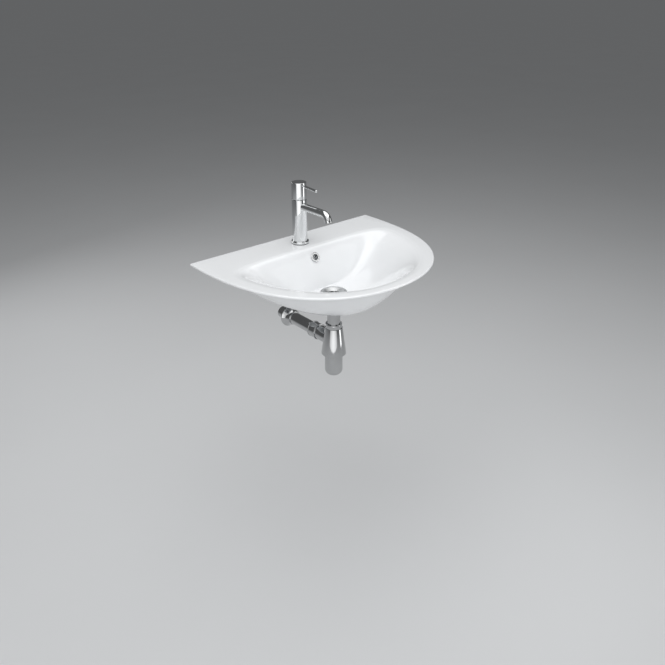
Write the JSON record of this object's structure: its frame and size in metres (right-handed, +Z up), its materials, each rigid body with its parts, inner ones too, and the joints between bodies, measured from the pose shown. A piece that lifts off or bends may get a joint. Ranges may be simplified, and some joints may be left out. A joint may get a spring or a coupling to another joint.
{
  "type": "wall-hung washbasin",
  "caption": "Wall-hung D-shaped ceramic washbasin with a single-lever mixer tap, overflow, open waste and a chrome bottle trap that runs back to the wall.",
  "frame": {"origin": "on the wall's face, midway between the basin's two wall fixing holes", "axes": "+Z up, +Y into the wall, +X to the right of a person who faces the basin; the tap's lever and spout point to -Y"},
  "size_m": [0.5506, 0.426, 0.4665],
  "materials": {
    "glazed_ceramic": "glossy white glaze",
    "chrome": "polished chrome plate on brass",
    "steel": "zinc-plated steel",
    "brass": "turned brass",
    "rubber": "matt black rubber",
    "plastic": "moulded pale plastic",
    "disc_ceramic": "lapped alumina"
  },
  "bodies": {
    "fixed": {"basin": "glazed_ceramic", "overflow_ring": "chrome", "base_gasket": "rubber", "base_ring": "chrome", "tap_body": "chrome", "spout_tube": "chrome", "aerator_ring": "chrome", "aerator_screen": "plastic", "fixing_stud": "steel", "fixing_gasket": "rubber", "fixing_plate": "steel", "fixing_nut": "brass", "cartridge_housing": "plastic", "cartridge_base": "plastic", "fixed_disc": "disc_ceramic", "bonnet_nut": "brass", "waste_body": "chrome", "waste_upper_seal": "rubber", "waste_lower_seal": "rubber", "waste_backnut": "brass", "inlet_nut": "chrome", "inlet_seal": "rubber", "inlet_tube": "chrome", "collar_nut": "chrome", "collar_seal": "rubber", "trap_body": "chrome", "trap_cup": "chrome", "cup_seal": "rubber", "outlet_nut": "chrome", "outlet_seal": "rubber", "outlet_pipe": "chrome", "wall_flange": "chrome"},
    "rotor": {"cartridge_rotor": "plastic", "pivot_pin": "steel"},
    "handle": {"spindle": "brass", "handle_cap": "chrome", "lever_rod": "chrome", "grub_screw": "steel"},
    "disc": {"moving_disc": "disc_ceramic", "disc_carrier": "plastic"}
  },
  "joints": [
    {"name": "handle_turn", "type": "hinge", "parent": "fixed", "child": "rotor", "pos_m": [0, -0.054, 0.162], "axis": [0, 0, 1], "range_deg": [-45, 45]},
    {"name": "lever_lift", "type": "hinge", "parent": "rotor", "child": "handle", "pos_m": [0, -0.054, 0.162], "axis": [-1, 0, 0], "range_deg": [0, 20]},
    {"name": "disc_slide", "type": "slide", "parent": "rotor", "child": "disc", "axis": [0, -1, 0], "range_m": [0, 0.0039]}
  ],
  "couplings": [
    {"joint": "disc_slide", "follows": "lever_lift", "m_per_rad": 0.011}
  ]
}
